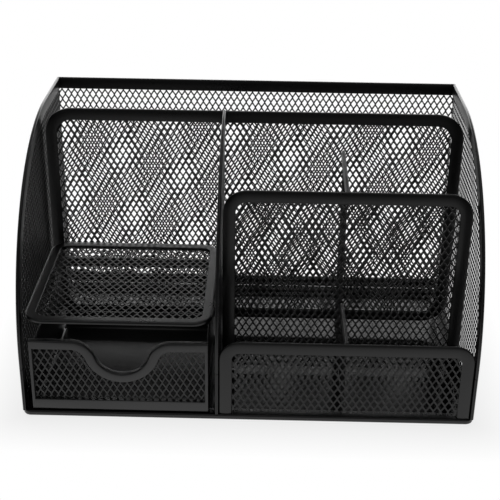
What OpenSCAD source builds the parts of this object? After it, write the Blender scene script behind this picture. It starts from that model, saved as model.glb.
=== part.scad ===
// Desk pen stand with a drawer, made of expanded steel mesh panels in folded steel rims.
// The front is at -Y, the part stands on Z = 0, and X and Y are centred on its floor.
// Each mesh panel is a plate of the mesh's own thickness, seated in its rim's slot. Its plain
// diamond openings stand for the much finer ones of the real mesh. The floor is a whole sheet.

/* [Body] */
// Width over both side walls
body_w = 220; // [210:1:240]
// Depth from the front edges to the back wall
body_d = 139; // [134:1:160]
// Height of the back wall and of the side walls behind their curved shoulders
body_h = 129.5; // [122:0.5:136]
// Height of the straight front edge below the curved shoulder
edge_h = 31.5; // [26:0.5:40]
// Height of the flat frame around the floor
base_h = 3; // [2.4:0.1:5]
// Corner radius of the flat frame around the floor
base_r = 4; // [2:0.5:6]
// Thickness of the floor's sheet
floor_t = 0.8; // [0.6:0.1:1.2]

/* [Rims and mesh] */
// Thickness of a folded rim, across its panel
rim_t = 2; // [1.8:0.1:3]
// Width of a rim's face
rim_face = 6.3; // [5:0.1:8]
// Thickness of the expanded mesh
mesh_t = 1; // [0.8:0.1:1.2]
// Widest pitch of the diamond openings
diamond_w = 18; // [18:0.5:22]
// Highest pitch of the diamond openings
diamond_h = 21; // [18:0.5:22]
// Share of its pitch that an opening takes, both ways
diamond_share = 0.76; // [0.6:0.02:0.84]
// Width that stays whole along a mesh edge without a rim
bare_edge = 2; // [1.5:0.1:3]

/* [Inner panels] */
// Middle of the partition between the tray side and the cells, along X
partition_x = -15.2; // [-30:0.2:0]
// Distance from the front edges to the rear divider's face
rear_y = 88; // [82:0.2:95]
// Height of the rear divider's lower edge
rear_foot = 8; // [6:0.1:12]
// Distance of the rear divider's top below the side walls' edge
rear_drop = 0.8; // [0.1:0.1:3]
// Corner radius of the rear divider
rear_r = 14; // [8:0.5:16]
// Distance from the front edges to the middle panel's face
mid_y = 43; // [36:0.5:50]
// Height of the middle panel's top edge
mid_h = 103.2; // [90:0.2:110]
// Corner radius of the middle panel
mid_r = 12; // [8:0.5:16]
// Distance from the front edges to the front panel's face
front_set = 1; // [0.5:0.1:3]
// Height of the front panel's top edge
front_h = 43; // [36:0.5:60]
// Corner radius of the front panel
front_r = 10; // [7:0.5:14]
// Middle of the cross dividers, along X
cross_x = 46.5; // [20:0.5:70]
// Width of the rim face on the cross dividers
cross_face = 5; // [3.5:0.1:7]
// Height by which the upper cross divider's top edge rises to the back
cross_rise = 5; // [0:0.5:8]

/* [Tray] */
// Height of the tray's top face
tray_top = 53; // [49:0.2:70]
// Distance from the front edges to the tray
tray_set = 1; // [0:0.1:12]
// Gap between the tray and the walls on both sides of it
tray_gap = 1; // [0.5:0.1:2]
// Width of the tray's rim face
tray_face = 5; // [3.5:0.1:8]
// Corner radius of the tray
tray_r = 10; // [8:0.5:14]

/* [Drawer] */
// Height of the drawer's top edge
drawer_top = 41.6; // [38:0.2:43]
// Distance from the drawer's face to its back
drawer_d = 80; // [60:1:82]
// Thickness of the drawer's front
drawer_t = 3.6; // [3:0.1:5]
// Width of the rim face along the drawer's top edge
drawer_top_face = 4.6; // [3:0.1:6]
// Width of the rim face along the drawer's lower edge
drawer_foot_face = 5.8; // [4:0.1:8]
// Width of the rim face at the drawer's ends
drawer_end_face = 1.6; // [1.4:0.1:4]
// Gap between the drawer's front and the bay on each side
drawer_gap = 3; // [1:0.1:4]
// Gap between the drawer and the flat frame under it
drawer_lift = 0.3; // [0.3:0.1:1]
// Width of the finger notch at the top edge
notch_w = 48.5; // [44:0.5:54]
// Depth of the finger notch
notch_depth = 17.5; // [14:0.5:19]
// Radius of the finger notch's bottom
notch_r = 14; // [10:0.5:16]
// Distance of the notch from the drawer's middle, to the right
notch_shift = 1.4; // [-5:0.1:5]
// Sheet thickness of the drawer pan
pan_wall = 0.9; // [0.6:0.1:1.5]
// Height of the pan's side walls
pan_h = 34; // [28:0.5:34.5]
// Height of the pan's back wall
pan_back_h = 11; // [8:0.5:11.5]
// Distance of the pan's side walls inside the ends of the front
pan_inset = 0.6; // [0.4:0.1:3]
// Height of the lower edge of the bar over the drawer's back
bar_foot = 38.8; // [38.6:0.2:41]
// Height of the bar's face
bar_h = 5.2; // [3:0.1:6]
// Thickness of the bar
bar_t = 1.2; // [0.8:0.1:2]

/* [Hidden] */
$fn = 96;
// Facets of the large circle that the shoulders are cut from
shoulder_fn = 180;

// Depth by which a cutting shape passes the face that it opens
past = 1;
// Thickness of a rim's cheeks beside the mesh, and of the fold over the mesh's edge
cheek = (rim_t - mesh_t) / 2;
// Radius of the curved shoulder, which leaves the front edge and meets the top smoothly
shoulder_r = body_h - edge_h;
front_y = -body_d / 2;

// Middle of the side walls, inner faces of them and faces of the partition
side_x = (body_w - rim_t) / 2;
bay_left = -body_w / 2 + rim_t;
bay_right = body_w / 2 - rim_t;
partition_left = partition_x - rim_t / 2;
partition_right = partition_x + rim_t / 2;
cells_w = bay_right - partition_right;
cells_x = (bay_right + partition_right) / 2;

// Height of the side walls' edge at a distance from the front
function shoulder_z(d) =
    d >= shoulder_r ? body_h : edge_h + sqrt(shoulder_r ^ 2 - (shoulder_r - d) ^ 2);

rear_w = bay_right - bay_left;
rear_h = shoulder_z(rear_y) - rear_drop - rear_foot;

tray_left = bay_left + tray_gap;
tray_right = partition_left - tray_gap;
tray_w = tray_right - tray_left;
tray_d = rear_y - tray_set;

drawer_left = bay_left + drawer_gap;
drawer_right = partition_left - drawer_gap;
drawer_w = drawer_right - drawer_left;
drawer_x = (drawer_left + drawer_right) / 2;
drawer_foot = base_h + drawer_lift;
drawer_h = drawer_top - drawer_foot;
drawer_cheek = (drawer_t - mesh_t) / 2;
// Depth of the mesh's slot in the narrow strips at the drawer's ends
drawer_end_cheek = drawer_end_face / 2;
pan_w = drawer_w - 2 * pan_inset;
pan_d = drawer_d - drawer_t;
// The notch's bottom arc runs on into two arcs of this radius, which meet the top edge
notch_lip_r = ((notch_w / 2) ^ 2 + notch_depth ^ 2) / (2 * notch_depth) - notch_r;

base_frame();
floor_sheet();
side_mesh(-1);  // left_side_mesh
side_rim(-1);  // left_side_rim
side_lower_rim(-1);  // left_lower_rim
side_mesh(1);  // right_side_mesh
side_rim(1);  // right_side_rim
side_lower_rim(1);  // right_lower_rim
back_mesh();
back_top_rim();
back_lower_rim();
rear_divider_mesh();
rear_divider_rim();
partition_mesh();
partition_rim();
mid_panel_mesh();
mid_panel_rim();
front_panel_mesh();
front_panel_rim();
rear_cross_mesh();
rear_cross_rim();
front_cross_mesh();
front_cross_rim();
tray_mesh();
tray_rim();
drawer_bar();
drawer_pan();
drawer_front_mesh();
drawer_front_rim();

// ---- Finish -------------------------------------------------------------

// Black powder coat, a shade lighter on the mesh so that it stands out in a view
module rim_black() {
    color([0.10, 0.10, 0.11]) children();
}

module mesh_black() {
    color([0.20, 0.20, 0.22]) children();
}

// ---- Placing flat outlines ----------------------------------------------

// Stands an outline across the part: its X runs along X and its Y up, at a distance from the front
module stand_across(d, t) {
    translate([0, front_y + d + t / 2, 0])
        rotate([90, 0, 0])
            linear_extrude(t, center = true) children();
}

// Stands an outline fore and aft: its X runs back from the front and its Y up, about one X
module stand_along(x, t) {
    translate([x, front_y, 0])
        rotate([90, 0, 90])
            linear_extrude(t, center = true) children();
}

// Lays an outline flat, with its lower face at a height
module lay_flat(z, t) {
    translate([0, 0, z]) linear_extrude(t) children();
}

// ---- Outlines -----------------------------------------------------------

// Rectangle from its lower left corner to its upper right one
module field(low, high) {
    translate(low) square(high - low);
}

// Rectangle with four round corners, from X = -w/2 to w/2 and Y = 0 to h
module round_plate(w, h, r) {
    translate([-w / 2, r]) square([w, h - 2 * r]);
    translate([-w / 2 + r, 0]) square([w - 2 * r, h]);
    for (x = [-w / 2 + r, w / 2 - r], y = [r, h - r]) {
        translate([x, y]) circle(r);
    }
}

// Plate that is round at its two top corners only
module arch_plate(w, h, r) {
    translate([-w / 2, 0]) square([w, h - r]);
    translate([-w / 2 + r, 0]) square([w - 2 * r, h]);
    for (x = [-w / 2 + r, w / 2 - r]) {
        translate([x, h - r]) circle(r);
    }
}

// Side view of a wall with the curved shoulder, its edge set in by an inset
module shoulder_plate(depth, foot, inset) {
    intersection() {
        translate([inset, foot]) square([depth - inset, body_h - inset - foot]);
        union() {
            square([body_d, edge_h]);
            translate([shoulder_r, edge_h]) circle(shoulder_r - inset, $fn = shoulder_fn);
            translate([shoulder_r, 0]) square([body_d, body_h]);
        }
    }
}

// Strip of the shoulder's edge, as wide as a rim's face
module shoulder_strip(depth) {
    difference() {
        shoulder_plate(depth, base_h, 0);
        shoulder_plate(depth + past, base_h - past, rim_face);
    }
}

// Half of the finger notch's S curve, cut from the top edge, set into the panel by an inset
module half_notch(inset) {
    reach = notch_r + notch_lip_r;
    bend = (notch_r + inset) / reach;
    bend_x = bend * notch_w / 2;
    bottom_y = drawer_h - notch_depth + notch_r;
    bend_y = bottom_y + bend * (notch_depth - reach);
    intersection() {
        square([notch_w / 2, drawer_h + past]);
        union() {
            translate([0, bottom_y]) circle(notch_r + inset);
            translate([0, bend_y]) square([bend_x, drawer_h + past - bend_y]);
            difference() {
                translate([bend_x, bend_y])
                    square([notch_w / 2 - bend_x, drawer_h + past - bend_y]);
                translate([notch_w / 2, drawer_h - notch_lip_r]) circle(notch_lip_r - inset);
            }
        }
    }
}

// Drawer front, set in by separate insets at the top, the ends and the foot
module drawer_plate(top, ends, foot) {
    difference() {
        translate([-drawer_w / 2 + ends, foot])
            square([drawer_w - 2 * ends, drawer_h - top - foot]);
        translate([notch_shift, 0]) {
            half_notch(top);
            mirror([1, 0]) half_notch(top);
        }
    }
}

// ---- Openings of the mesh -----------------------------------------------

// Diamonds over a rectangle from its lower left corner, a whole number of pitches each way
module diamonds(size) {
    columns = ceil(size.x / diamond_w);
    rows = ceil(size.y / diamond_h);
    step = [size.x / columns / 2, size.y / rows / 2];
    reach = diamond_share * step;
    for (i = [0:2 * columns], j = [(i + 1) % 2:2:2 * rows]) {
        translate([i * step.x, j * step.y])
            polygon([[-reach.x, 0], [0, -reach.y], [reach.x, 0], [0, reach.y]]);
    }
}

// Cuts diamonds from the first outline, inside the second one, which fills the field
module openwork(low, high) {
    difference() {
        children(0);
        intersection() {
            children(1);
            translate(low) diamonds(high - low);
        }
    }
}

// ---- Floor --------------------------------------------------------------

// Sheet that the frame holds by its edges, half way up
module floor_sheet() {
    rim_black()
        lay_flat((base_h - floor_t) / 2, floor_t)
            translate([0, front_y + cheek])
                round_plate(body_w - 2 * cheek, body_d - 2 * cheek, base_r - cheek);
}

module base_frame() {
    low = [-body_w / 2 + rim_face, front_y + rim_face];
    rim_black()
        difference() {
            translate([0, front_y, 0])
                lay_flat(0, base_h) round_plate(body_w, body_d, base_r);
            lay_flat(-past, base_h + 2 * past) field(low, -low);
            floor_sheet();
        }
}

// ---- Side walls and back wall -------------------------------------------

module side_outline() {
    shoulder_plate(body_d - cheek, base_h + cheek, cheek);
}

module side_mesh(side) {
    low = [rim_face, base_h + rim_face];
    high = [body_d - rim_t, body_h - rim_face];
    mesh_black()
        stand_along(side * side_x, mesh_t)
            openwork(low, high) {
                side_outline();
                shoulder_plate(high.x, low.y, rim_face);
            }
}

module back_outline() {
    inner_w = body_w - rim_t - mesh_t;
    translate([-inner_w / 2, base_h + cheek])
        square([inner_w, body_h - base_h - 2 * cheek]);
}

module back_mesh() {
    low = [bay_left, base_h + rim_face];
    high = [bay_right, body_h - rim_face];
    mesh_black()
        stand_across(body_d - cheek - mesh_t, mesh_t)
            openwork(low, high) {
                back_outline();
                field(low, high);
            }
}

// Space that the meshes of a side wall and the back wall take in the rims
module wall_slots(side) {
    stand_along(side * side_x, mesh_t) side_outline();
    back_slot();
}

module back_slot() {
    stand_across(body_d - cheek - mesh_t, mesh_t) back_outline();
}

// Strip folded over the front edge, the shoulder and the top of a side wall
module side_rim(side) {
    rim_black()
        difference() {
            stand_along(side * side_x, rim_t) shoulder_strip(body_d);
            wall_slots(side);
        }
}

// Strip folded over the lower edge of a side wall, behind its front edge
module side_lower_rim(side) {
    rim_black()
        difference() {
            stand_along(side * side_x, rim_t)
                translate([rim_face, base_h]) square([body_d - rim_face, rim_face]);
            wall_slots(side);
        }
}

// Strip across the back wall, between the side walls, from a height up
module back_strip(z) {
    rim_black()
        difference() {
            stand_across(body_d - rim_t, rim_t)
                translate([bay_left, z]) square([rear_w, rim_face]);
            back_slot();
        }
}

module back_top_rim() {
    back_strip(body_h - rim_face);
}

module back_lower_rim() {
    back_strip(base_h);
}

// ---- Rear divider, across the whole width -------------------------------

module rear_outline(inset) {
    translate([0, rear_foot + inset])
        round_plate(rear_w - 2 * inset, rear_h - 2 * inset, rear_r - inset);
}

module rear_divider_mesh() {
    low = [bay_left + rim_face, rear_foot + rim_face];
    high = [bay_right - rim_face, rear_foot + rear_h - rim_face];
    mesh_black()
        stand_across(rear_y + cheek, mesh_t)
            openwork(low, high) {
                rear_outline(cheek);
                rear_outline(rim_face);
            }
}

module rear_divider_rim() {
    rim_black()
        difference() {
            stand_across(rear_y, rim_t)
                difference() {
                    rear_outline(0);
                    rear_outline(rim_face);
                }
            stand_across(rear_y + cheek, mesh_t) rear_outline(cheek);
        }
}

// ---- Partition between the tray side and the cells ----------------------

module partition_outline() {
    shoulder_plate(rear_y, base_h, cheek);
}

module partition_mesh() {
    low = [rim_face, base_h + bare_edge];
    high = [rear_y - bare_edge, body_h - rim_face];
    mesh_black()
        stand_along(partition_x, mesh_t)
            openwork(low, high) {
                partition_outline();
                shoulder_plate(high.x, low.y, rim_face);
            }
}

module partition_rim() {
    rim_black()
        difference() {
            stand_along(partition_x, rim_t) shoulder_strip(rear_y);
            stand_along(partition_x, mesh_t) partition_outline();
        }
}

// ---- Middle panel and front panel of the cells --------------------------

module cell_panel_outline(h, r) {
    translate([cells_x, base_h])
        arch_plate(cells_w - 2 * cheek, h - base_h - cheek, r - cheek);
}

module cell_panel_mesh(d, h, r) {
    inner_w = cells_w - 2 * rim_face;
    low = [cells_x - inner_w / 2, base_h + bare_edge];
    high = [cells_x + inner_w / 2, h - rim_face];
    mesh_black()
        stand_across(d + cheek, mesh_t)
            openwork(low, high) {
                cell_panel_outline(h, r);
                translate([cells_x, low.y]) arch_plate(inner_w, high.y - low.y, r - rim_face);
            }
}

// Strip folded over the two ends and the top edge of a cell panel
module cell_panel_rim(d, h, r) {
    inner_w = cells_w - 2 * rim_face;
    rim_black()
        difference() {
            stand_across(d, rim_t)
                translate([cells_x, base_h])
                    difference() {
                        arch_plate(cells_w, h - base_h, r);
                        translate([0, -past])
                            arch_plate(inner_w, h - base_h - rim_face + past, r - rim_face);
                    }
            stand_across(d + cheek, mesh_t) cell_panel_outline(h, r);
        }
}

module mid_panel_mesh() {
    cell_panel_mesh(mid_y, mid_h, mid_r);
}

module mid_panel_rim() {
    cell_panel_rim(mid_y, mid_h, mid_r);
}

module front_panel_mesh() {
    cell_panel_mesh(front_set, front_h, front_r);
}

module front_panel_rim() {
    cell_panel_rim(front_set, front_h, front_r);
}

// ---- Cross dividers between the cell panels -----------------------------

// Side view of a cross divider, whose top edge rises to the back by a rise
module cross_outline(from, to, top, rise) {
    polygon([[from, base_h], [to, base_h], [to, top + rise - cheek], [from, top - cheek]]);
}

module cross_mesh(from, to, top, rise) {
    low = [from + bare_edge, base_h + bare_edge];
    high = [to - bare_edge, top - cross_face];
    mesh_black()
        stand_along(cross_x, mesh_t)
            openwork(low, high) {
                cross_outline(from, to, top, rise);
                field(low, high);
            }
}

// Strip folded over a cross divider's top edge
module cross_rim(from, to, top, rise) {
    foot = top - cross_face;
    rim_black()
        difference() {
            stand_along(cross_x, rim_t)
                polygon([[from, foot], [to, foot + rise], [to, top + rise], [from, top]]);
            stand_along(cross_x, mesh_t) cross_outline(from, to, top, rise);
        }
}

module rear_cross_mesh() {
    cross_mesh(mid_y + rim_t, rear_y, mid_h, cross_rise);
}

module rear_cross_rim() {
    cross_rim(mid_y + rim_t, rear_y, mid_h, cross_rise);
}

module front_cross_mesh() {
    cross_mesh(front_set + rim_t, mid_y, front_h, 0);
}

module front_cross_rim() {
    cross_rim(front_set + rim_t, mid_y, front_h, 0);
}

// ---- Tray over the drawer -----------------------------------------------

module tray_outline(inset) {
    translate([(tray_left + tray_right) / 2, front_y + tray_set + inset])
        round_plate(tray_w - 2 * inset, tray_d - 2 * inset, tray_r - inset);
}

module tray_mesh() {
    low = [tray_left + tray_face, front_y + tray_set + tray_face];
    high = [tray_right - tray_face, front_y + rear_y - tray_face];
    mesh_black()
        lay_flat(tray_top - cheek - mesh_t, mesh_t)
            openwork(low, high) {
                tray_outline(cheek);
                tray_outline(tray_face);
            }
}

module tray_rim() {
    rim_black()
        difference() {
            lay_flat(tray_top - rim_t, rim_t)
                difference() {
                    tray_outline(0);
                    tray_outline(tray_face);
                }
            lay_flat(tray_top - cheek - mesh_t, mesh_t) tray_outline(cheek);
        }
}

// Flat bar on the rear divider, which keeps the drawer's back down when the drawer is out
module drawer_bar() {
    rim_black()
        translate([bay_left, front_y + rear_y - bar_t, bar_foot])
            cube([partition_left - bay_left, bar_t, bar_h]);
}

// ---- Drawer -------------------------------------------------------------

module drawer_front_outline() {
    drawer_plate(drawer_cheek, drawer_end_cheek, drawer_cheek);
}

// Part of the drawer's front that its rim leaves open
module drawer_front_opening() {
    drawer_plate(drawer_top_face, drawer_end_face, drawer_foot_face);
}

module drawer_front_mesh() {
    low = [-drawer_w / 2 + drawer_end_face, drawer_foot_face];
    high = [drawer_w / 2 - drawer_end_face, drawer_h - drawer_top_face];
    mesh_black()
        stand_across(front_set + drawer_cheek, mesh_t)
            translate([drawer_x, drawer_foot])
                openwork(low, high) {
                    drawer_front_outline();
                    drawer_front_opening();
                }
}

module drawer_front_rim() {
    rim_black()
        difference() {
            stand_across(front_set, drawer_t)
                translate([drawer_x, drawer_foot])
                    difference() {
                        drawer_plate(0, 0, 0);
                        drawer_front_opening();
                    }
            stand_across(front_set + drawer_cheek, mesh_t)
                translate([drawer_x, drawer_foot]) drawer_front_outline();
        }
}

// Folded sheet pan behind the front, open at the top, with a low back wall
module drawer_pan() {
    rim_black()
        translate([drawer_x - pan_w / 2, front_y + front_set + drawer_t, drawer_foot]) {
            cube([pan_w, pan_d, pan_wall]);
            for (x = [0, pan_w - pan_wall]) {
                translate([x, 0, 0]) cube([pan_wall, pan_d, pan_h]);
            }
            translate([0, pan_d - pan_wall, 0]) cube([pan_w, pan_wall, pan_back_h]);
        }
}
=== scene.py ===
"""Looks of a desk pen stand with a drawer, in black powder-coated expanded steel mesh.

Every mesh panel is a lattice of knots and strands, every rim is a strip folded over
its panel's edge, and the drawer is a folded sheet pan behind a mesh front.
Lengths are in metres. X is to the right, Y to the back, and Z up from the desk.
"""

import math
from functools import partial
from typing import NamedTuple

import bmesh
import bpy
from bpy.props import FloatProperty, FloatVectorProperty, PointerProperty
from mathutils import Matrix, Vector


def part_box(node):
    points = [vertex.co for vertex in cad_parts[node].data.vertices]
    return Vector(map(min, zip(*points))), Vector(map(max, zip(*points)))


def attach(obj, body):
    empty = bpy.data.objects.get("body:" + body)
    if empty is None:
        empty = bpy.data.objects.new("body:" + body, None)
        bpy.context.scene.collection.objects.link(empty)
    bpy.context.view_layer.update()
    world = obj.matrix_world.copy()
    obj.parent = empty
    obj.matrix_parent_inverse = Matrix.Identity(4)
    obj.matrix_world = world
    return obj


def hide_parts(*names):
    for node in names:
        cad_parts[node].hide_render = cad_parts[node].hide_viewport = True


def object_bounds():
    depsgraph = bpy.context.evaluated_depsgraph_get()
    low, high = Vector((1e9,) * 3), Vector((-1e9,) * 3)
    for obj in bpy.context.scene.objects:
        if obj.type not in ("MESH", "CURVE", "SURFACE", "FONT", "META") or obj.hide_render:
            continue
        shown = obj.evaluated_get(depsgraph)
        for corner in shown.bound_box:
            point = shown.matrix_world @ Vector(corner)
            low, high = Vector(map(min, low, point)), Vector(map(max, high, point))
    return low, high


bl_info = {
    "name": "Mesh pen stand",
    "version": (1, 0, 0),
    "blender": (4, 5, 0),
    "location": "View3D > Sidebar > Pen Stand",
    "description": "Builds the strands, folded rims, drawer and studio of a mesh pen stand",
    "category": "Object",
}

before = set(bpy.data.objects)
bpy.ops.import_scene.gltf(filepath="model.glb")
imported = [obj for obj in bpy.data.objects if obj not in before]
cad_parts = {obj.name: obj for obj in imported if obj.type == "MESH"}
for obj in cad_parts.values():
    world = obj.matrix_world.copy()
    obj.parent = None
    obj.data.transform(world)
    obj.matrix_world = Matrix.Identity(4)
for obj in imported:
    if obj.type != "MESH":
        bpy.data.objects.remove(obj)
CAD_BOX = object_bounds()

MM = 0.001


# ---- Sizes and finishes ----


def measure(name, default, description, **kind):
    """A number that the user can change."""
    return FloatProperty(name=name, description=description, default=default, **kind)


length = partial(measure, unit="LENGTH")
angle = partial(measure, subtype="ANGLE")
share = partial(measure, subtype="FACTOR")


def coat_colour(name, default, description):
    """A colour that the user can change."""
    return FloatVectorProperty(
        name=name, description=description, default=default, subtype="COLOR", min=0, max=1
    )


class LatticeSizes(bpy.types.PropertyGroup):
    """Expanded mesh: how far apart its knots are and how stout its strands"""

    across: length("Pitch Across", 3.4 * MM, "Distance between knots in a row, on the walls")
    along: length("Pitch Along", 6.0 * MM, "The same distance along the diamonds' long way")
    strand: length("Strand Width", 0.68 * MM, "Width of a strand in the plane of the mesh")
    thickness: length("Sheet Thickness", 0.37 * MM, "Thickness of the sheet, with its coat")
    tilt: length("Strand Tilt", 0.07 * MM, "How far a strand's right edge stands forward")
    knot: length("Knot Length", 0.42 * MM, "Half the length over which two strands are joined")


class RimSizes(bpy.types.PropertyGroup):
    """Folded strips along the panels' edges"""

    bend: length("Bend Radius", 0.75 * MM, "Radius of a strip's bends at the panel's edge")
    lip: length("Lip Width", 0.25 * MM, "Width of the rounded lip that lies on the mesh")
    bow: angle("Bow", math.radians(8), "Angle by which a strip's face turns at its two edges")
    flat_bow: angle("Flat Bow", math.radians(1.5), "The same angle on the tray's flatter strip")
    groove: length("Groove", 0.45 * MM, "Width and depth of the groove below the butt seam")
    seam: length("Seam Width", 0.3 * MM, "Width of the butt seam low on each curved strip")
    seam_z: length("Seam Height", 26 * MM, "Height of the butt seam on the front edges")


class StandSizes(bpy.types.PropertyGroup):
    """Radii, heights and strip widths that the solids' boxes don't give"""

    edge_top: length("Edge Height", 31.5 * MM, "Height at which the shoulder's curve starts")
    base_radius: length("Base Radius", 4 * MM, "Corner radius of the frame round the floor")
    rear_radius: length("Rear Divider Radius", 14 * MM, "Corner radius of the rear divider")
    mid_radius: length("Middle Panel Radius", 12 * MM, "Corner radius of the middle panel")
    front_radius: length("Front Panel Radius", 10 * MM, "Corner radius of the front panel")
    tray_radius: length("Tray Radius", 10 * MM, "Corner radius of the tray")
    cross_face: length("Cross Rim Width", 5 * MM, "Width of the strips on the cross dividers")
    tray_face: length("Tray Rim Width", 5 * MM, "Width of the strip round the tray")


class DrawerSizes(bpy.types.PropertyGroup):
    """Drawer front and folded pan"""

    top_face: length("Top Strip Width", 4.6 * MM, "Width of the strip along the wavy top edge")
    foot_face: length("Foot Strip Width", 5.8 * MM, "Width of the strip along the lower edge")
    end_face: length("End Strip Width", 1.6 * MM, "Width of the strip at the front's two ends")
    notch_width: length("Notch Width", 48.5 * MM, "Width of the finger notch at the top edge")
    notch_depth: length("Notch Depth", 17.5 * MM, "Depth of the finger notch")
    notch_radius: length("Notch Radius", 14 * MM, "Radius of the finger notch's bottom")
    notch_shift: length("Notch Shift", 1.4 * MM, "Distance of the notch right of the middle")
    sheet: length("Pan Sheet", 0.9 * MM, "Sheet thickness of the folded pan")
    bend: length("Pan Bend Radius", 2.0 * MM, "Radius of the pan's folds")
    back_height: length("Pan Back Height", 11 * MM, "Height of the pan's back wall")


class Finish(bpy.types.PropertyGroup):
    """Colours and gloss of the powder coat"""

    rim_colour: coat_colour("Rim Colour", (0.0045, 0.0045, 0.0048), "Coat on the folded strips")
    pan_colour: coat_colour("Drawer Colour", (0.012, 0.012, 0.0125), "Coat on the drawer's sheet")
    mesh_colour: coat_colour("Mesh Colour", (0.004, 0.004, 0.0042), "Coat on the strands")
    rim_roughness: share("Rim Roughness", 0.3, "Mean roughness of the coat on the strips")
    floor_roughness: share("Floor Roughness", 0.12, "Mean roughness of the floor sheet's coat")
    mesh_roughness: share("Mesh Roughness", 0.36, "Mean roughness of the coat on the strands")
    peel: length("Orange Peel", 0.02 * MM, "Height of the coat's fine dimples")


class StageSizes(bpy.types.PropertyGroup):
    """Camera and studio"""

    camera_place: FloatVectorProperty(
        name="Camera Place",
        description="Where the camera stands",
        default=(0.00628, -0.51717, 0.30815),
        subtype="XYZ",
        unit="LENGTH",
    )
    camera_tilt: angle("Camera Tilt", math.radians(25.73), "How far the camera looks down")
    camera_turn: angle("Camera Turn", math.radians(0.80), "How far the camera turns left")
    camera_roll: angle("Camera Roll", math.radians(0.80), "How far the camera leans")
    lens: measure("Focal Length", 79.2, "Focal length on a 36 mm wide sensor, in millimetres")
    floor_size: length("Floor Size", 4.0, "Width of the studio floor")
    world_level: measure("Room Level", 0.12, "Brightness of the room around the object")
    # Painted shade: over this distance the floor's painted glow, which only reflections see, fades
    # in front of the stand
    floor_reach: length("Floor Reach", 0.17, "Distance at which the mirrored floor is half bright")
    shadow_reach: length("Shadow Reach", 0.03, "Distance at which the object's shadow has faded")


class PenStand(bpy.types.PropertyGroup):
    """All sizes and finishes of the pen stand"""

    lattice: PointerProperty(type=LatticeSizes)
    rim: PointerProperty(type=RimSizes)
    stand: PointerProperty(type=StandSizes)
    drawer: PointerProperty(type=DrawerSizes)
    finish: PointerProperty(type=Finish)
    stage: PointerProperty(type=StageSizes)


def settings():
    """The scene's own sizes and finishes."""
    return bpy.context.scene.pen_stand


# ---- Nodes ----


class Value:
    """A number socket that Python's operators work on, by adding Math nodes."""

    def __init__(self, graph, socket):
        self.graph = graph
        self.socket = socket

    def math(self, operation, *others):
        inputs = dict(enumerate([self, *others]))
        return self.graph.add("ShaderNodeMath", inputs, operation=operation).value()

    def __add__(self, other):
        return self.math("ADD", other)

    def __sub__(self, other):
        return self.math("SUBTRACT", other)

    def __rsub__(self, other):
        return self.graph.number(other).math("SUBTRACT", self)

    def __mul__(self, other):
        return self.math("MULTIPLY", other)

    def __truediv__(self, other):
        return self.math("DIVIDE", other)

    def __rtruediv__(self, other):
        return self.graph.number(other).math("DIVIDE", self)

    __radd__ = __add__
    __rmul__ = __mul__


class Added:
    """A node that was added to a graph, with its outputs as values or plain sockets."""

    def __init__(self, graph, node):
        self.graph = graph
        self.node = node

    def out(self, key=0):
        return self.node.outputs[key]

    def value(self, key=0):
        return Value(self.graph, self.node.outputs[key])


class Graph:
    """A node tree that nodes are added to with their settings and inputs at once."""

    def __init__(self, tree):
        self.tree = tree

    def add(self, kind, inputs=None, **chosen):
        node = self.tree.nodes.new(kind)
        for name, setting in chosen.items():
            setattr(node, name, setting)
        for key, given in (inputs or {}).items():
            given = given.socket if isinstance(given, Value) else given
            if isinstance(given, bpy.types.NodeSocket):
                self.tree.links.new(given, node.inputs[key])
            else:
                node.inputs[key].default_value = given
        return Added(self, node)

    def number(self, amount):
        node = self.tree.nodes.new("ShaderNodeValue")
        node.outputs[0].default_value = amount
        return Value(self, node.outputs[0])

    def ramp(self, factor, stops):
        """A colour ramp over (place, colour) stops."""
        added = self.add("ShaderNodeValToRGB", {"Fac": factor})
        elements = added.node.color_ramp.elements
        while len(elements) < len(stops):
            elements.new(0.5)
        for element, (place, colour) in zip(elements, stops):
            element.position = place
            element.color = (*colour, 1)
        return added.out("Color")


# ---- Materials ----

CLOUDS = {"Scale": 38.0, "Detail": 4.0, "Roughness": 0.6}
GRAIN = {"Detail": 2.0, "Roughness": 0.5}
NOISE_MEAN = 0.5
CLOUD_SHARE = 0.55  # of a coat's tone, the rest of which is grain
TONES = ((0.30, 0.72), (0.52, 1.0), (0.74, 1.5))  # (tone, factor on the coat's colour)
BUMP_STRENGTH = 0.55


def shade(colour, factor):
    """A colour made lighter or darker."""
    return tuple(min(1.0, channel * factor) for channel in colour)


def coat(name, colour, roughness, peel, dimple, sheen, ior=1.5):
    """Black powder coat, made on first use: cloudy colour and gloss over fine dimples.

    peel is the depth of a dimple, dimple its width, and sheen how far the gloss varies.
    """
    if name in bpy.data.materials:
        return bpy.data.materials[name]
    material = bpy.data.materials.new(name)
    material.use_nodes = True
    graph = Graph(material.node_tree)
    place = graph.add("ShaderNodeTexCoord").out("Object")
    clouds = graph.add("ShaderNodeTexNoise", {"Vector": place, **CLOUDS}).value("Fac")
    fine = {"Vector": place, "Scale": 1 / dimple, **GRAIN}
    grain = graph.add("ShaderNodeTexNoise", fine).value("Fac")

    tone = clouds * CLOUD_SHARE + grain * (1 - CLOUD_SHARE)
    tint = graph.ramp(tone, [(stop, shade(colour, factor)) for stop, factor in TONES])
    gloss = (clouds - NOISE_MEAN) * sheen + (grain - NOISE_MEAN) * (sheen / 2) + roughness
    dimples = {"Strength": BUMP_STRENGTH, "Distance": peel, "Height": grain}
    bump = graph.add("ShaderNodeBump", dimples)
    shader = material.node_tree.nodes["Principled BSDF"]
    links = material.node_tree.links
    links.new(tint, shader.inputs["Base Color"])
    links.new(gloss.socket, shader.inputs["Roughness"])
    links.new(bump.out("Normal"), shader.inputs["Normal"])
    shader.inputs["IOR"].default_value = ior
    return material


def rim_coat():
    """Smooth satin coat on the folded strips."""
    finish = settings().finish
    look = (finish.rim_colour, finish.rim_roughness, finish.peel)
    return coat("satin_strip_coat", *look, dimple=0.9 * MM, sheen=0.14)


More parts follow.
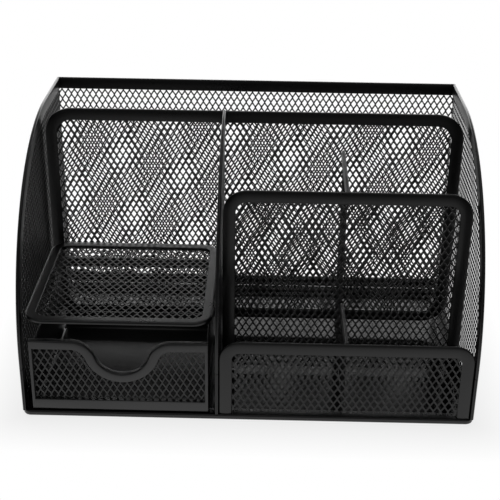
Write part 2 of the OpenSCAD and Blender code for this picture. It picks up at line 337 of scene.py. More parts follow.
def strand_coat():
    """Coat on the strands, a little drier than on the strips."""
    finish = settings().finish
    look = (finish.mesh_colour, finish.mesh_roughness, finish.peel / 2)
    return coat("strand_coat", *look, dimple=0.5 * MM, sheen=0.2)


def pan_coat():
    """Coat on the wide sheet of the drawer pan, where the orange peel shows most."""
    finish = settings().finish
    look = (finish.pan_colour, finish.rim_roughness, finish.peel)
    return coat("sheet_pan_coat", *look, dimple=1.4 * MM, sheen=0.1, ior=1.6)


def floor_coat():
    """Coat on the floor's sheet, which is the smoothest."""
    finish = settings().finish
    look = (finish.rim_colour, finish.floor_roughness, finish.peel / 2)
    return coat("floor_sheet_coat", *look, dimple=1.4 * MM, sheen=0.05, ior=1.3)


# ---- Outlines ----
# An outline is a list of (across, up) points, and keeps its count whatever its inset.

ARC_STEPS = 10
SHOULDER_STEPS = 48

# Unit directions in a plane
UP = (0, 1)
DOWN = (0, -1)
TO_THE_BACK = (1, 0)


def arc(centre, radius, start, end, steps=ARC_STEPS):
    """Points on an arc, from one angle in degrees to another."""
    points = []
    for step in range(steps + 1):
        turn = math.radians(start + (end - start) * step / steps)
        points.append((centre[0] + radius * math.cos(turn), centre[1] + radius * math.sin(turn)))
    return points


def round_loop(low, high, radius, inset):
    """Closed outline of a plate with four round corners."""
    (left, foot), (right, top) = low, high
    turns = [
        ((right - radius, foot + radius), -90, 0),
        ((right - radius, top - radius), 0, 90),
        ((left + radius, top - radius), 90, 180),
        ((left + radius, foot + radius), 180, 270),
    ]
    bend = radius - inset
    return [point for centre, start, end in turns for point in arc(centre, bend, start, end)]


def arch_path(low, high, radius, inset):
    """Open outline up one end of a plate, over its round corners and down the other."""
    (left, foot), (right, top) = low, high
    bend = radius - inset
    return [
        (left + inset, foot),
        *arc((left + radius, top - radius), bend, 180, 90),
        *arc((right - radius, top - radius), bend, 90, 0),
        (right - inset, foot),
    ]


def edge_path(start, end, inward, inset):
    """Straight open outline, which its inset moves along a unit direction."""
    return [(u + inward[0] * inset, v + inward[1] * inset) for u, v in (start, end)]


def shoulder_path(depth, foot, top, inset):
    """Open outline up a front edge, over the curved shoulder and back along the top."""
    edge_top = settings().stand.edge_top
    radius = top - edge_top
    centre = (radius, edge_top)
    last = 90
    if depth < radius:
        last = math.degrees(math.acos((depth - radius) / (radius - inset)))
    points = [(inset, foot), *arc(centre, radius - inset, 180, last, SHOULDER_STEPS)]
    if depth > radius:
        points.append((depth, top - inset))
    return points


def wave_loop(low, high, top_inset, end_inset, foot_inset):
    """Closed outline of the drawer front, with the finger notch in its top edge."""
    sizes = settings().drawer
    (left, foot), (right, top) = low, high
    half = sizes.notch_width / 2
    deep = sizes.notch_depth
    bottom_radius = sizes.notch_radius
    lip_radius = (half**2 + deep**2) / (2 * deep) - bottom_radius
    notch_x = (left + right) / 2 + sizes.notch_shift
    bottom = (notch_x, top - deep + bottom_radius)
    turn = math.degrees(math.atan2(half, bottom_radius + lip_radius - deep))
    return [
        (left + end_inset, foot + foot_inset),
        (right - end_inset, foot + foot_inset),
        (right - end_inset, top - top_inset),
        *arc((notch_x + half, top - lip_radius), lip_radius - top_inset, 90, 90 + turn),
        *arc(bottom, bottom_radius + top_inset, turn - 90, -90 - turn, 2 * ARC_STEPS),
        *arc((notch_x - half, top - lip_radius), lip_radius - top_inset, 90 - turn, 90),
        (left + end_inset, top - top_inset),
    ]


# ---- Planes and places ----
# A plane turns (across, up, out) into a place in the stand. Out is to the front on an
# upright panel, to the right on a side panel, and up on a level one.

ACROSS = Matrix.Rotation(math.pi / 2, 4, "X")
FORE_AND_AFT = Matrix.Rotation(math.pi / 2, 4, "Z") @ ACROSS

# The two axes of a panel that faces the front, and of a level one
FACING_FRONT = (0, 2)
FACING_UP = (0, 1)


def middle(node):
    """Middle of a CAD node's box."""
    low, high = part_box(node)
    return (low + high) / 2


def front_y():
    """The stand's front, from which depths are measured."""
    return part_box("base_frame")[0].y


def across(node):
    """Upright plane through the middle of a node, which faces the front."""
    return Matrix.Translation((0, middle(node).y, 0)) @ ACROSS


def fore_and_aft(node):
    """Upright plane through the middle of a node, which faces the side."""
    return Matrix.Translation((middle(node).x, front_y(), 0)) @ FORE_AND_AFT


def level(node):
    """Level plane through the middle of a node."""
    return Matrix.Translation((0, 0, middle(node).z))


def rect(node, axes):
    """Low and high corners of a node's box in a plane, by its two axes."""
    low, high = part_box(node)
    first, second = axes
    return (low[first], low[second]), (high[first], high[second])


def depth_of(node):
    """Distances of a node's front and back from the stand's front."""
    low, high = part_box(node)
    return low.y - front_y(), high.y - front_y()


def cross_top(rim_node):
    """Height of a cross divider's top edge at its front, and its rise to the back."""
    low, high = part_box(rim_node)
    front_top = low.z + settings().stand.cross_face
    return front_top, high.z - front_top


# ---- Making pieces ----

CREASE = 35  # degrees above which an edge is shaded sharp


def make_object(name, mesh):
    """A new object that holds a mesh, at the origin."""
    thing = bpy.data.objects.new(name, mesh)
    bpy.context.scene.collection.objects.link(thing)
    return thing


def to_mesh(name, soup):
    """A mesh from a bmesh, with outward normals."""
    bmesh.ops.recalc_face_normals(soup, faces=soup.faces)
    mesh = bpy.data.meshes.new(name)
    soup.to_mesh(mesh)
    soup.free()
    return mesh


def evaluated_mesh(thing):
    """The mesh that an object's modifiers make. The object itself is removed."""
    bpy.context.view_layer.update()
    evaluated = thing.evaluated_get(bpy.context.evaluated_depsgraph_get())
    mesh = bpy.data.meshes.new_from_object(evaluated)
    thing.modifiers.clear()
    bpy.data.objects.remove(thing)
    return mesh


def finish_mesh(name, soup, material):
    """A mesh from a bmesh, with its coat and smooth bends."""
    mesh = to_mesh(name, soup)
    mesh.shade_smooth()
    mesh.set_sharp_from_angle(angle=math.radians(CREASE))
    mesh.materials.append(material)
    return mesh


def dress(name, mesh, body, node):
    """Puts a finished piece on its body, in place of its CAD node."""
    piece = make_object(name, mesh)
    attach(piece, body)
    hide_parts(node)


# ---- Folded strips ----

BOW_STEPS = 4
BEND_STEPS = 4


def loft(soup, rings, closed):
    """Skins closed sections along a path: rings[k] is the path of the section's point k.

    A closed path meets itself, and an open one is capped at its two ends.
    """
    made = [[soup.verts.new(point) for point in ring] for ring in rings]
    count = len(made[0])
    spans = count if closed else count - 1
    for here, there in zip(made, made[1:] + made[:1]):
        for step in range(spans):
            after = (step + 1) % count
            soup.faces.new((here[step], here[after], there[after], there[step]))
    if not closed:
        soup.faces.new([ring[0] for ring in made])
        soup.faces.new([ring[-1] for ring in reversed(made)])


def fold_section(face, thickness, bow, grooved):
    """Section of a strip folded over an edge, as (inset, out) points.

    Its faces are bowed: they turn by the same angle to the fold and to the lip.
    """
    rim = settings().rim
    start = rim.bend * (1 - math.sin(bow))
    run = face - rim.lip - start
    bow_radius = run / (2 * math.sin(bow))
    sag = bow_radius * (1 - math.cos(bow))
    centre = (start + run / 2, thickness / 2 - bow_radius)
    front = [(face, thickness / 2 - sag - rim.lip)]
    for step in range(BOW_STEPS + 1):
        turn = bow * (1 - 2 * step / BOW_STEPS)
        front.append(
            (centre[0] + bow_radius * math.sin(turn), centre[1] + bow_radius * math.cos(turn))
        )
    corner = thickness / 2 - sag - rim.bend * math.cos(bow)
    for step in range(1, BEND_STEPS + 1):
        turn = bow + (math.pi / 2 - bow) * step / BEND_STEPS
        front.append((rim.bend * (1 - math.sin(turn)), corner + rim.bend * math.cos(turn)))
    if grooved:
        front += [(0, rim.groove / 2), (rim.groove, rim.groove / 2)]
    return front + [(inset, -out) for inset, out in reversed(front)]


def folded(
    soup,
    plane,
    outline,
    closed=False,
    face=None,
    thickness=None,
    bow=None,
    grooved=False,
    shape_end=None,
):
    """Adds a folded strip, as wide, thick and bowed as the back wall's if not told otherwise.

    outline(inset) gives its path, and shape_end moves the path's ends.
    """
    low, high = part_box("back_top_rim")
    face = face or high.z - low.z
    thickness = thickness or high.y - low.y
    rings = []
    for inset, out in fold_section(face, thickness, bow or settings().rim.bow, grooved):
        path = [Vector((u, v, out)) for u, v in outline(inset)]
        if shape_end:
            shape_end(path, out)
        rings.append([plane @ point for point in path])
    loft(soup, rings, closed)


def dress_strip(node, soup):
    """Puts a finished strip of the stand in place of its CAD node."""
    name = node + "_strip"
    dress(name, finish_mesh(name, soup, rim_coat()), "stand", node)


def strip_piece(node, plane, outline, **shape):
    """A whole rim of the stand that is one folded strip."""
    soup = bmesh.new()
    folded(soup, plane, outline, **shape)
    dress_strip(node, soup)


# ---- Expanded mesh ----

SPARE = 2  # knots laid beyond a panel's box on each side, so that a slanted lattice fills it
WAIST_SPREAD = 0.5  # share of the strands' spread at a knot that the knot's sides keep
WAIST_LENGTH = 0.6  # share of a knot's length over which its sides are straight
DECIMALS = 9  # of a metre, to which corners of a cell that meet are the same
WELD = 0.02 * MM  # distance within which the ends of two cells are joined
ON_OUTLINE = 0.01 * MM  # distance from a region within which a knot counts as inside


class Pull(NamedTuple):
    """How a panel's sheet is pulled: shares of the walls' pitches, and how its cut is turned"""

    across: float = 1.0
    along: float = 1.0
    slant: float = 0.0  # degrees, to the left
    tilt: float = 1.0  # share of the walls' strand tilt


WALLS = Pull()
DIVIDER = Pull(across=1.007, slant=2.0)
MIDDLE = Pull(across=1.03, along=1.01)
FRONT = Pull(across=1.06, along=1.02)
DRAWER = Pull(along=1.02, slant=1.8)
TRAY = Pull(across=1.116, along=1.04, slant=3.6, tilt=0)


def knot_cell(pitch_across, pitch_along, lean):
    """One knot with its four half strands, which meet the next knots' half way.

    The right edge of each strand leans forward, as in sheet that is slit and pulled.
    """
    sizes = settings().lattice
    half = sizes.strand / 2
    quarter = Vector((pitch_across / 4, pitch_along / 4))
    root = Vector((0, sizes.knot))
    run = (quarter - root).normalized()
    side = Vector((run.y, -run.x)) * half
    waist = side.x + root.y * run.x / run.y * WAIST_SPREAD
    crotch = root.y + half / run.x
    end_right = quarter + side
    end_left = quarter - side
    # One quarter of the cell, as (across, up, lean) from its right side to its top
    corner = {
        "waist": (waist, sizes.knot * WAIST_LENGTH, lean),
        "outer": (end_right.x, end_right.y, lean),
        "inner": (end_left.x, end_left.y, -lean),
        "crotch": (0, crotch, 0),
    }

    soup = bmesh.new()
    thick = sizes.thickness / 2
    known = {}

    def vert(key, flip_across, flip_up, front):
        u, v, out = corner[key]
        place = (u * flip_across, v * flip_up, out * flip_across + front * thick)
        spot = tuple(round(part, DECIMALS) for part in place)
        if spot not in known:
            known[spot] = soup.verts.new(spot)
        return known[spot]

    quarters = [(1, 1), (-1, 1), (-1, -1), (1, -1)]
    for front in (1, -1):
        heart = []
        for turn in quarters:
            arm = [vert(key, *turn, front) for key in ("waist", "outer", "inner", "crotch")]
            soup.faces.new(arm)
            ends = [arm[0], arm[3]]
            heart += ends if turn[0] == turn[1] else ends[::-1]
        soup.faces.new([spot for k, spot in enumerate(heart) if spot is not heart[k - 1]])
    for turn in quarters:
        for a, b in (("waist", "outer"), ("inner", "crotch")):
            soup.faces.new(
                [vert(a, *turn, 1), vert(b, *turn, 1), vert(b, *turn, -1), vert(a, *turn, -1)]
            )
    for flip_across in (1, -1):
        soup.faces.new([vert("waist", flip_across, *end) for end in quarters])
    return make_object("knot_cell", to_mesh("knot_cell", soup))


def lattice_tree():
    """Geometry nodes that fill a flat outline with cells and set them in their plane."""
    tree = bpy.data.node_groups.new("Expanded mesh", "GeometryNodeTree")
    sockets = [
        ("Outline", "NodeSocketGeometry"),
        ("Cell", "NodeSocketObject"),
        ("Pitch Across", "NodeSocketFloat"),
        ("Pitch Along", "NodeSocketFloat"),
        ("First Knot", "NodeSocketVector"),
        ("Slant", "NodeSocketVector"),
        ("Place", "NodeSocketVector"),
        ("Turn", "NodeSocketVector"),
        ("Coat", "NodeSocketMaterial"),
    ]
    for name, kind in sockets:
        tree.interface.new_socket(name=name, in_out="INPUT", socket_type=kind)
    tree.interface.new_socket(name="Mesh", in_out="OUTPUT", socket_type="NodeSocketGeometry")
    graph = Graph(tree)
    given = graph.add("NodeGroupInput")

    box = graph.add("GeometryNodeBoundBox", {"Geometry": given.out("Outline")})
    low = graph.add("ShaderNodeSeparateXYZ", {0: box.out("Min")})
    high = graph.add("ShaderNodeSeparateXYZ", {0: box.out("Max")})
    first = graph.add("ShaderNodeSeparateXYZ", {0: given.out("First Knot")})

    def axis(key, pitch):
        """Half the count of knots along an axis, and the middle one's place."""
        half = (high.value(key) - low.value(key)) / (pitch * 2)
        centre = (high.value(key) + low.value(key)) / 2
        steps = ((centre - first.value(key)) / pitch).math("ROUND")
        return half.math("CEIL") + SPARE, first.value(key) + steps * pitch

    pitch_across = given.value("Pitch Across")
    pitch_along = given.value("Pitch Along")
    half_across, middle_across = axis("X", pitch_across)
    half_along, middle_along = axis("Y", pitch_along)
    centre = graph.add("ShaderNodeCombineXYZ", {0: middle_across, 1: middle_along})

    grids = []
    for extra in (0, 1):
        steps_across = half_across * 2 + extra
        steps_along = half_along * 2 + extra
        counts = {
            "Size X": steps_across * pitch_across,
            "Size Y": steps_along * pitch_along,
            "Vertices X": steps_across + 1,
            "Vertices Y": steps_along + 1,
        }
        grids.append(graph.add("GeometryNodeMeshGrid", counts).out("Mesh"))
    joined = graph.add("GeometryNodeJoinGeometry")
    for grid in reversed(grids):
        tree.links.new(grid, joined.node.inputs[0])
    slant = given.out("Slant")
    moved = {"Geometry": joined.out(), "Translation": centre.out(), "Rotation": slant}
    knots = graph.add("GeometryNodeTransform", moved)

    outline = {0: given.out("Outline")}
    near = graph.add("GeometryNodeProximity", outline, target_element="FACES")
    outside = near.value("Distance").math("GREATER_THAN", ON_OUTLINE)
    cleared = {"Geometry": knots.out(), "Selection": outside}
    inside = graph.add("GeometryNodeDeleteGeometry", cleared, domain="POINT")
    cell = graph.add("GeometryNodeObjectInfo", {"Object": given.out("Cell")})
    copied = {"Points": inside.out(), "Instance": cell.out("Geometry"), "Rotation": slant}
    cells = graph.add("GeometryNodeInstanceOnPoints", copied)
    place, turn = given.out("Place"), given.out("Turn")
    placed = {"Geometry": cells.out(), "Translation": place, "Rotation": turn}
    panel = graph.add("GeometryNodeTransform", placed)
    real = graph.add("GeometryNodeRealizeInstances", {"Geometry": panel.out()})
    coated = {"Geometry": real.out(), "Material": given.out("Coat")}
    result = graph.add("GeometryNodeSetMaterial", coated)
    graph.add("NodeGroupOutput", {0: result.out()})
    return tree


def set_inputs(modifier, **values):
    """Sets a modifier's inputs by their names in the tree, through their identifiers."""
    for item in modifier.node_group.interface.items_tree:
        key = item.name.replace(" ", "_").lower()
        if item.in_out == "INPUT" and key in values:
            modifier[item.identifier] = values[key]


def strands_piece(node, plane, outline, pull=WALLS, first=(0, 0), pitch=None, body="stand"):
    """Fills a panel's outline with expanded mesh, in place of its CAD plate."""
    lattice = settings().lattice
    across_pitch = pitch or lattice.across * pull.across
    along_pitch = lattice.along * pull.along
    cell = knot_cell(across_pitch, along_pitch, lattice.tilt * pull.tilt)
    flat = bpy.data.meshes.new("outline")
    flat.from_pydata([(u, v, 0) for u, v in outline], [], [range(len(outline))])
    guide = make_object("outline", flat)
    tree = bpy.data.node_groups.get("Expanded mesh") or lattice_tree()
    modifier = guide.modifiers.new("Expanded mesh", "NODES")
    modifier.node_group = tree
    place, turn, _ = plane.decompose()
    set_inputs(
        modifier,
        cell=cell,
        pitch_across=across_pitch,
        pitch_along=along_pitch,
        first_knot=(*first, 0),
        slant=(0, 0, math.radians(pull.slant)),
        place=place,
        turn=turn.to_euler(),
        coat=strand_coat(),
    )
    mesh = evaluated_mesh(guide)
    bpy.data.objects.remove(cell)
    if not mesh.polygons:
        raise RuntimeError(f"{node} got no strands")

    soup = bmesh.new()
    soup.from_mesh(mesh)
    bmesh.ops.remove_doubles(soup, verts=soup.verts, dist=WELD)
    # A strand that meets no further knot has a four-sided hole at its end, closed here
    open_edges = [edge for edge in soup.edges if edge.is_boundary]
    bmesh.ops.holes_fill(soup, edges=open_edges, sides=4)
    soup.to_mesh(mesh)
    soup.free()
    mesh.name = node + "_strands"
    dress(mesh.name, mesh, body, node)


# ---- Mesh panels ----

HIDDEN = 4.6 * MM  # how far the last knots lie inside an edge that a rim covers
TOUCH = 0.9 * MM  # how far they lie inside an edge that only meets another piece
SKIN = 0.02 * MM  # how far a region passes the knots on its own edge
HIDDEN_CROSS = 1.6 * MM  # how far the knots reach under a cross divider's strip
HIDDEN_STRIP = 1.4 * MM  # how far they reach under the tray's and the drawer's strips
HIDDEN_END = 0.4 * MM  # how far they reach under the narrow strips at the drawer's ends


def shoulder_region(rear, foot):
    """Region of a curved panel that holds knots."""
    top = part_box("left_side_rim")[1].z
    return [*shoulder_path(rear, foot, top, HIDDEN), (rear, foot)]


class PENSTAND_OT_strands(bpy.types.Operator):
    """Fill every panel with expanded mesh"""

    bl_idname = "penstand.strands"
    bl_label = "Expanded Mesh"

    def execute(self, context):
        base_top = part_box("base_frame")[1].z
        self.walls(base_top + HIDDEN)
        self.inner_panels(base_top + TOUCH)
        self.tray()
        self.drawer_front()
        return {"FINISHED"}

    def walls(self, foot):
        """Back wall and side walls.

        The back wall's knots divide its width evenly, so that each corner has a row of
        knots where the mesh turns into the side wall.
        """
        corner_x = middle("right_side_mesh").x
        pitch = 2 * corner_x / round(2 * corner_x / settings().lattice.across)
        corner_y = middle("back_mesh").y - front_y()
        back_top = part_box("back_top_rim")[1].z - HIDDEN
        back = [
            (-corner_x - SKIN, foot),
            (corner_x + SKIN, foot),
            (corner_x + SKIN, back_top),
            (-corner_x - SKIN, back_top),
        ]
        plane = across("back_mesh")
        strands_piece("back_mesh", plane, back, WALLS, (corner_x, 0), pitch)
        for node in ("left_side_mesh", "right_side_mesh"):
            region = shoulder_region(corner_y + SKIN, foot)
            strands_piece(node, fore_and_aft(node), region, WALLS, (corner_y, 0))

    def inner_panels(self, foot):
        """Partition, rear divider, cell panels and the cross dividers between them."""
        stand = settings().stand
        _, rear = depth_of("partition_mesh")
        region = shoulder_region(rear - TOUCH, foot)
        strands_piece("partition_mesh", fore_and_aft("partition_mesh"), region)

        corners = rect("rear_divider_rim", FACING_FRONT)
        region = round_loop(*corners, stand.rear_radius, HIDDEN)
        strands_piece("rear_divider_mesh", across("rear_divider_mesh"), region, DIVIDER)

        for panel, radius, pull in (
            ("mid_panel", stand.mid_radius, MIDDLE),
            ("front_panel", stand.front_radius, FRONT),
        ):
            low, high = rect(panel + "_rim", FACING_FRONT)
            region = arch_path((low[0], low[1] + TOUCH), high, radius, HIDDEN)
            node = panel + "_mesh"
            strands_piece(node, across(node), region, pull, (middle(node).x, 0))

        hidden = stand.cross_face - HIDDEN_CROSS
        for panel in ("rear_cross", "front_cross"):
            node = panel + "_mesh"
            near, far = depth_of(node)
            top, rise = cross_top(panel + "_rim")
            region = [
                (near + TOUCH, foot),
                (far - TOUCH, foot),
                (far - TOUCH, top + rise - hidden),
                (near + TOUCH, top - hidden),
            ]
            strands_piece(node, fore_and_aft(node), region, WALLS, (near + TOUCH, 0))

    def tray(self):
        stand = settings().stand
        low, high = rect("tray_rim", FACING_UP)
        region = round_loop(low, high, stand.tray_radius, stand.tray_face - HIDDEN_STRIP)
        strands_piece("tray_mesh", level("tray_mesh"), region, TRAY, low)

    def drawer_front(self):
        sizes = settings().drawer
        region = wave_loop(
            *rect("drawer_front_rim", FACING_FRONT),
            sizes.top_face - HIDDEN_STRIP,
            sizes.end_face - HIDDEN_END,
            sizes.foot_face - HIDDEN_STRIP,
        )
        node = "drawer_front_mesh"
        first = (middle(node).x, 0)
        strands_piece(node, across(node), region, DRAWER, first, body="drawer")


# ---- Rims ----

BASE_INNER_RADIUS = 0.2 * MM


class PENSTAND_OT_wall_rims(bpy.types.Operator):
    """Fold the strips over the edges of the side walls, back wall and partition"""

    bl_idname = "penstand.wall_rims"
    bl_label = "Wall Rims"

    def execute(self, context):
        low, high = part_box("left_side_rim")
        sides = (("left_side_rim", 1), ("right_side_rim", -1), ("partition_rim", 0))
        for node, inward in sides:
            self.curved(node, low, high, inward)
        self.back_top(high.z)
        for node in ("left_lower_rim", "right_lower_rim"):
            near, far = depth_of(node)
            outline = partial(edge_path, (near, low.z), (far, low.z), UP)
            strip_piece(node, fore_and_aft(node), outline)
        (left, _), (right, _) = rect("back_top_rim", FACING_FRONT)
        outline = partial(edge_path, (left, low.z), (right, low.z), UP)
        strip_piece("back_lower_rim", across("back_lower_rim"), outline)
        return {"FINISHED"}

    def curved(self, node, low, high, inward):
        """A strip up a front edge and over the shoulder, with its butt seam low down.

        Its rear end is mitred to the side that inward gives, and is square where that is 0.
        """
        rim = settings().rim
        plane = fore_and_aft(node)
        half_thickness = (high.x - low.x) / 2
        soup = bmesh.new()
        seam_foot = rim.seam_z - rim.seam / 2
        below = partial(edge_path, (0, low.z), (0, seam_foot), TO_THE_BACK)
        folded(soup, plane, below, grooved=True)

        def mitre(path, out):
            if inward:
                path[-1].x -= half_thickness + inward * out

        _, depth = depth_of(node)
        above = partial(shoulder_path, depth, rim.seam_z + rim.seam / 2, high.z)
        folded(soup, plane, above, shape_end=mitre)
        dress_strip(node, soup)

    def back_top(self, top):
        """The back wall's top strip, mitred at both ends."""
        node = "back_top_rim"
        low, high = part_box(node)
        half_thickness = (high.y - low.y) / 2

        def mitre_both(path, out):
            path[0].x -= half_thickness - out
            path[-1].x += half_thickness - out

        outline = partial(edge_path, (low.x, top), (high.x, top), DOWN)
        strip_piece(node, across(node), outline, shape_end=mitre_both)


class PENSTAND_OT_panel_rims(bpy.types.Operator):
    """Fold the strips of the dividers, the cell panels, the tray and the base"""

    bl_idname = "penstand.panel_rims"
    bl_label = "Panel Rims"

    def execute(self, context):
        stand = settings().stand
        node = "rear_divider_rim"
        outline = partial(round_loop, *rect(node, FACING_FRONT), stand.rear_radius)
        strip_piece(node, across(node), outline, closed=True)
        panels = (("mid_panel_rim", stand.mid_radius), ("front_panel_rim", stand.front_radius))
        for node, radius in panels:
            outline = partial(arch_path, *rect(node, FACING_FRONT), radius)
            strip_piece(node, across(node), outline)
        for node in ("rear_cross_rim", "front_cross_rim"):
            near, far = depth_of(node)
            top, rise = cross_top(node)
            outline = partial(edge_path, (near, top), (far, top + rise), DOWN)
            strip_piece(node, fore_and_aft(node), outline, face=stand.cross_face)
        self.level_strips(stand)
        return {"FINISHED"}

    def level_strips(self, stand):
        """The strip round the tray, and the frame round the floor."""
        node = "tray_rim"
        outline = partial(round_loop, *rect(node, FACING_UP), stand.tray_radius)
        bow = settings().rim.flat_bow
        strip_piece(node, level(node), outline, closed=True, face=stand.tray_face, bow=bow)
        node = "base_frame"
        low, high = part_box(node)
        strip_piece(node, level(node), self.base_loop, closed=True, thickness=high.z - low.z)

    def base_loop(self, inset):
        """Outline of the frame round the floor, whose inner corners are nearly square."""
        radius = settings().stand.base_radius
        (left, foot), (right, top) = rect("base_frame", FACING_UP)
        if inset < radius:
            return round_loop((left, foot), (right, top), radius, inset)
        low = (left + inset, foot + inset)
        high = (right - inset, top - inset)
        return round_loop(low, high, BASE_INNER_RADIUS, 0)


# ---- Drawer ----

PAN_FOLD_STEPS = 6
PAN_EDGE = 0.25 * MM  # width of the rounding on the sheet's cut edges
PAN_EDGE_STEPS = 2


class PENSTAND_OT_drawer(bpy.types.Operator):
    """Fold the drawer's pan and the wavy strip of its front"""

    bl_idname = "penstand.drawer"
    bl_label = "Drawer"

    def execute(self, context):
        sizes = settings().drawer
        self.front_strip(sizes)
        self.pan(sizes)
        return {"FINISHED"}

    def front_strip(self, sizes):
        """The strip round the front, whose width differs between top, ends and foot."""
        node = "drawer_front_rim"
        low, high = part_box(node)
        corners = rect(node, FACING_FRONT)

        def wave(inset):
            part = inset / sizes.top_face
            return wave_loop(*corners, inset, part * sizes.end_face, part * sizes.foot_face)

        soup = bmesh.new()
        thickness = high.y - low.y
        folded(soup, across(node), wave, True, sizes.top_face, thickness)
        name = node + "_strip"
        dress(name, finish_mesh(name, soup, pan_coat()), "drawer", node)

    def pan(self, sizes):
        """One folded sheet: a U across, with its back wall folded up from the floor."""
        low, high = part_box("drawer_pan")
        half = sizes.sheet / 2
        left, right = low.x + half, high.x - half
        near, far = low.y, high.y - half
        foot, top = low.z + half, high.z - half
        bend = sizes.bend
        section = [
            (left, top),
            *arc((left + bend, foot + bend), bend, 180, 270, PAN_FOLD_STEPS),
            *arc((right - bend, foot + bend), bend, 270, 360, PAN_FOLD_STEPS),
            (right, top),
        ]
        soup = bmesh.new()
        rows = []
        for y in (near, far - bend, far):
            rows.append([soup.verts.new((x, y, z)) for x, z in section])
        last = len(section) - 2
        for step in range(last + 1):
            soup.faces.new((rows[0][step], rows[0][step + 1], rows[1][step + 1], rows[1][step]))
            # Only the two side walls run on past the back wall's fold
            if step in (0, last):
                soup.faces.new(
                    (rows[1][step], rows[1][step + 1], rows[2][step + 1], rows[2][step])
                )
        floor_first = PAN_FOLD_STEPS + 1
        edge = [rows[1][floor_first], rows[1][floor_first + 1]]
        rise = arc((far - bend, foot + bend), bend, 270, 360, PAN_FOLD_STEPS)[1:]
        rise.append((far, low.z + sizes.back_height))
        for y, z in rise:
            lifted = [soup.verts.new((vert.co.x, y, z)) for vert in edge]
            soup.faces.new((edge[0], edge[1], lifted[1], lifted[0]))
            edge = lifted
        loose = [vert for vert in soup.verts if not vert.link_faces]
        bmesh.ops.delete(soup, geom=loose, context="VERTS")
        self.thicken(finish_mesh("drawer_pan_sheet", soup, pan_coat()), sizes.sheet)

    def thicken(self, mesh, sheet):
        """Gives the pan's folded face its thickness and rounded edges."""
        shell = make_object(mesh.name, mesh)
        solid = shell.modifiers.new("Sheet", "SOLIDIFY")
        solid.thickness = sheet
        solid.offset = 0
        solid.use_even_offset = True
        soft = shell.modifiers.new("Edges", "BEVEL")
        soft.width = PAN_EDGE
        soft.segments = PAN_EDGE_STEPS
        soft.limit_method = "ANGLE"
        name = "drawer_pan_sheet"
        dress(name, evaluated_mesh(shell), "drawer", "drawer_pan")


class PENSTAND_OT_kept_nodes(bpy.types.Operator):
    """Coat the solids that are shown as they are"""

    bl_idname = "penstand.kept_nodes"
    bl_label = "Kept Solids"

    def execute(self, context):
        for name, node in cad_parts.items():
            if not node.hide_render:
                node.data.materials.clear()
                node.data.materials.append(floor_coat() if name == "floor_sheet" else rim_coat())
        return {"FINISHED"}


# ---- Stage ----

WHITE = (1, 1, 1, 1)
FLOOR_COLOUR = (0.86, 0.86, 0.86, 1)
# Strength of the floor's painted glow, which only reflections see: a painted reflection, not light
# from the lamps
PAINTED_GLOW_LEVEL = 0.85  # brightness of the floor in reflections, beside the stand
CLEARED = 0.8  # share of plain white in the floor right beside the stand
SENSOR_WIDTH = 36.0  # millimetres


class Softbox(NamedTuple):
    """A rectangular lamp: its place, the point that it faces, its size and its power in watts"""

    name: str
    place: tuple
    target: tuple
    size: tuple
    power: float


SOFTBOXES = (
    Softbox("overhead_softbox", (0, 0, 1.3), (0, 0, 0.05), (1.6, 1.4), 2.5),
    Softbox("rear_softbox", (0, 1.3, 0.45), (0, 0, 0.1), (2.6, 0.88), 19),
)


def white(graph, strength):
    """Plain white light, as strong as given."""
    inputs = {"Color": WHITE, "Strength": strength}
    return graph.add("ShaderNodeEmission", inputs).out()


def mixed(graph, factor, first, second):
    """Two shaders, of which the second shows where the factor is 1."""
    return graph.add("ShaderNodeMixShader", {0: factor, 1: first, 2: second}).out()


def seen(path):
    """1 where the camera looks at the surface, directly or through a clear one."""
    return path.value("Is Camera Ray").math("MAXIMUM", path.value("Is Transmission Ray"))


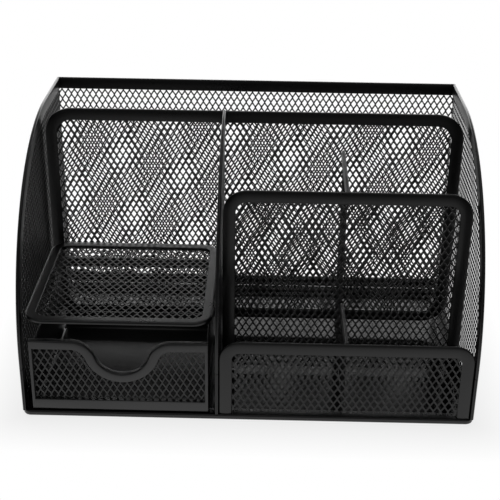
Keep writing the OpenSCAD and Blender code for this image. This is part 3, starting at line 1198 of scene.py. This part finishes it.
class PENSTAND_OT_stage(bpy.types.Operator):
    """Set up the floor, the lights and the camera"""

    bl_idname = "penstand.stage"
    bl_label = "Studio"

    def execute(self, context):
        scene = context.scene
        stage = settings().stage
        scene.view_settings.view_transform = "Standard"
        self.room(scene, stage)
        self.floor(stage)
        for softbox in SOFTBOXES:
            self.lamp(softbox)
        self.camera(scene, stage)
        return {"FINISHED"}

    def room(self, scene, stage):
        """A grey room, which is white where the camera looks past the floor."""
        world = bpy.data.worlds.new("room")
        scene.world = world
        world.use_nodes = True
        graph = Graph(world.node_tree)
        world.node_tree.nodes.clear()
        grey, clear = (
            graph.add("ShaderNodeBackground", {"Color": WHITE, "Strength": strength}).out()
            for strength in (stage.world_level, 1.0)
        )
        shown = mixed(graph, seen(graph.add("ShaderNodeLightPath")), grey, clear)
        graph.add("ShaderNodeOutputWorld", {"Surface": shown})

    def floor(self, stage):
        """A pale floor that keeps the shadow near the object and is white further off. Reflections
        see painted light on it instead: a glow, not the lamps' light, which fades in front of the
        stand as painted shade.
        """
        half = stage.floor_size / 2
        mesh = bpy.data.meshes.new("studio_floor")
        corners = [(-half, -half, 0), (half, -half, 0), (half, half, 0), (-half, half, 0)]
        mesh.from_pydata(corners, [], [(0, 1, 2, 3)])
        floor = make_object("studio_floor", mesh)
        material = bpy.data.materials.new("pale_floor")
        material.use_nodes = True
        graph = Graph(material.node_tree)
        material.node_tree.nodes.clear()
        place = graph.add("ShaderNodeTexCoord").out("Object")
        split = graph.add("ShaderNodeSeparateXYZ", {0: place})
        low, high = (Vector(corner) for corner in CAD_BOX)
        size = (high - low) / 2
        past_x = (split.value("X").math("ABSOLUTE") - size.x).math("MAXIMUM", 0.0)
        past_y = (split.value("Y").math("ABSOLUTE") - size.y).math("MAXIMUM", 0.0)
        far = (past_x * past_x + past_y * past_y).math("SQRT")
        cleared = (far / stage.shadow_reach).math("MINIMUM", 1.0) * (1 - CLEARED) + CLEARED
        # Painted shade: the floor's glow in reflections dims with distance in front of the stand
        ahead = (split.value("Y") * -1 - size.y).math("MAXIMUM", 0.0) / stage.floor_reach
        painted_glow_share = 1 / (ahead * ahead + 1)
        path = graph.add("ShaderNodeLightPath")
        matt = graph.add("ShaderNodeBsdfDiffuse", {"Color": FLOOR_COLOUR}).out()
        # Painted reflection: for reflected rays the floor glows instead of being lit by the lamps
        mirrored = mixed(graph, painted_glow_share, white(graph, 0.0), white(graph, PAINTED_GLOW_LEVEL))
        reflected = mixed(graph, path.value("Is Glossy Ray"), matt, mirrored)
        shown = mixed(graph, seen(path) * cleared, reflected, white(graph, 1.0))
        graph.add("ShaderNodeOutputMaterial", {"Surface": shown})
        mesh.materials.append(material)

    def lamp(self, softbox):
        """One softbox, turned to the point that it faces."""
        light = bpy.data.lights.new(softbox.name, "AREA")
        light.shape = "RECTANGLE"
        light.size, light.size_y = softbox.size
        light.energy = softbox.power
        lamp = bpy.data.objects.new(softbox.name, light)
        lamp.visible_camera = False
        bpy.context.scene.collection.objects.link(lamp)
        lamp.location = softbox.place
        toward = Vector(softbox.target) - Vector(softbox.place)
        lamp.rotation_euler = toward.to_track_quat("-Z", "Y").to_euler()

    def camera(self, scene, stage):
        """The camera at the photograph's angle."""
        data = bpy.data.cameras.new("camera")
        data.lens = stage.lens
        data.sensor_width = SENSOR_WIDTH
        camera = bpy.data.objects.new("camera", data)
        scene.collection.objects.link(camera)
        turn = Matrix.Rotation(stage.camera_turn, 4, "Z")
        tilt = Matrix.Rotation(math.pi / 2 - stage.camera_tilt, 4, "X")
        roll = Matrix.Rotation(stage.camera_roll, 4, "Z")
        camera.matrix_world = Matrix.Translation(stage.camera_place) @ turn @ tilt @ roll
        scene.camera = camera


# ---- Sidebar and registration ----


class PENSTAND_PT_sidebar(bpy.types.Panel):
    """Steps that build the pen stand, in order"""

    bl_idname = "PENSTAND_PT_sidebar"
    bl_label = "Pen Stand"
    bl_space_type = "VIEW_3D"
    bl_region_type = "UI"
    bl_category = "Pen Stand"

    def draw(self, context):
        for step in STEPS:
            self.layout.operator(step.bl_idname)


STEPS = (
    PENSTAND_OT_strands,
    PENSTAND_OT_wall_rims,
    PENSTAND_OT_panel_rims,
    PENSTAND_OT_drawer,
    PENSTAND_OT_kept_nodes,
    PENSTAND_OT_stage,
)

GROUPS = (LatticeSizes, RimSizes, StandSizes, DrawerSizes, Finish, StageSizes, PenStand)
CLASSES = (*GROUPS, *STEPS, PENSTAND_PT_sidebar)


def register():
    for group in CLASSES:
        bpy.utils.register_class(group)
    bpy.types.Scene.pen_stand = PointerProperty(type=PenStand)


def unregister():
    del bpy.types.Scene.pen_stand
    for group in reversed(CLASSES):
        bpy.utils.unregister_class(group)


def main():
    register()
    bpy.ops.penstand.strands()
    bpy.ops.penstand.wall_rims()
    bpy.ops.penstand.panel_rims()
    bpy.ops.penstand.drawer()
    bpy.ops.penstand.kept_nodes()
    bpy.ops.penstand.stage()


if __name__ == "__main__":
    main()
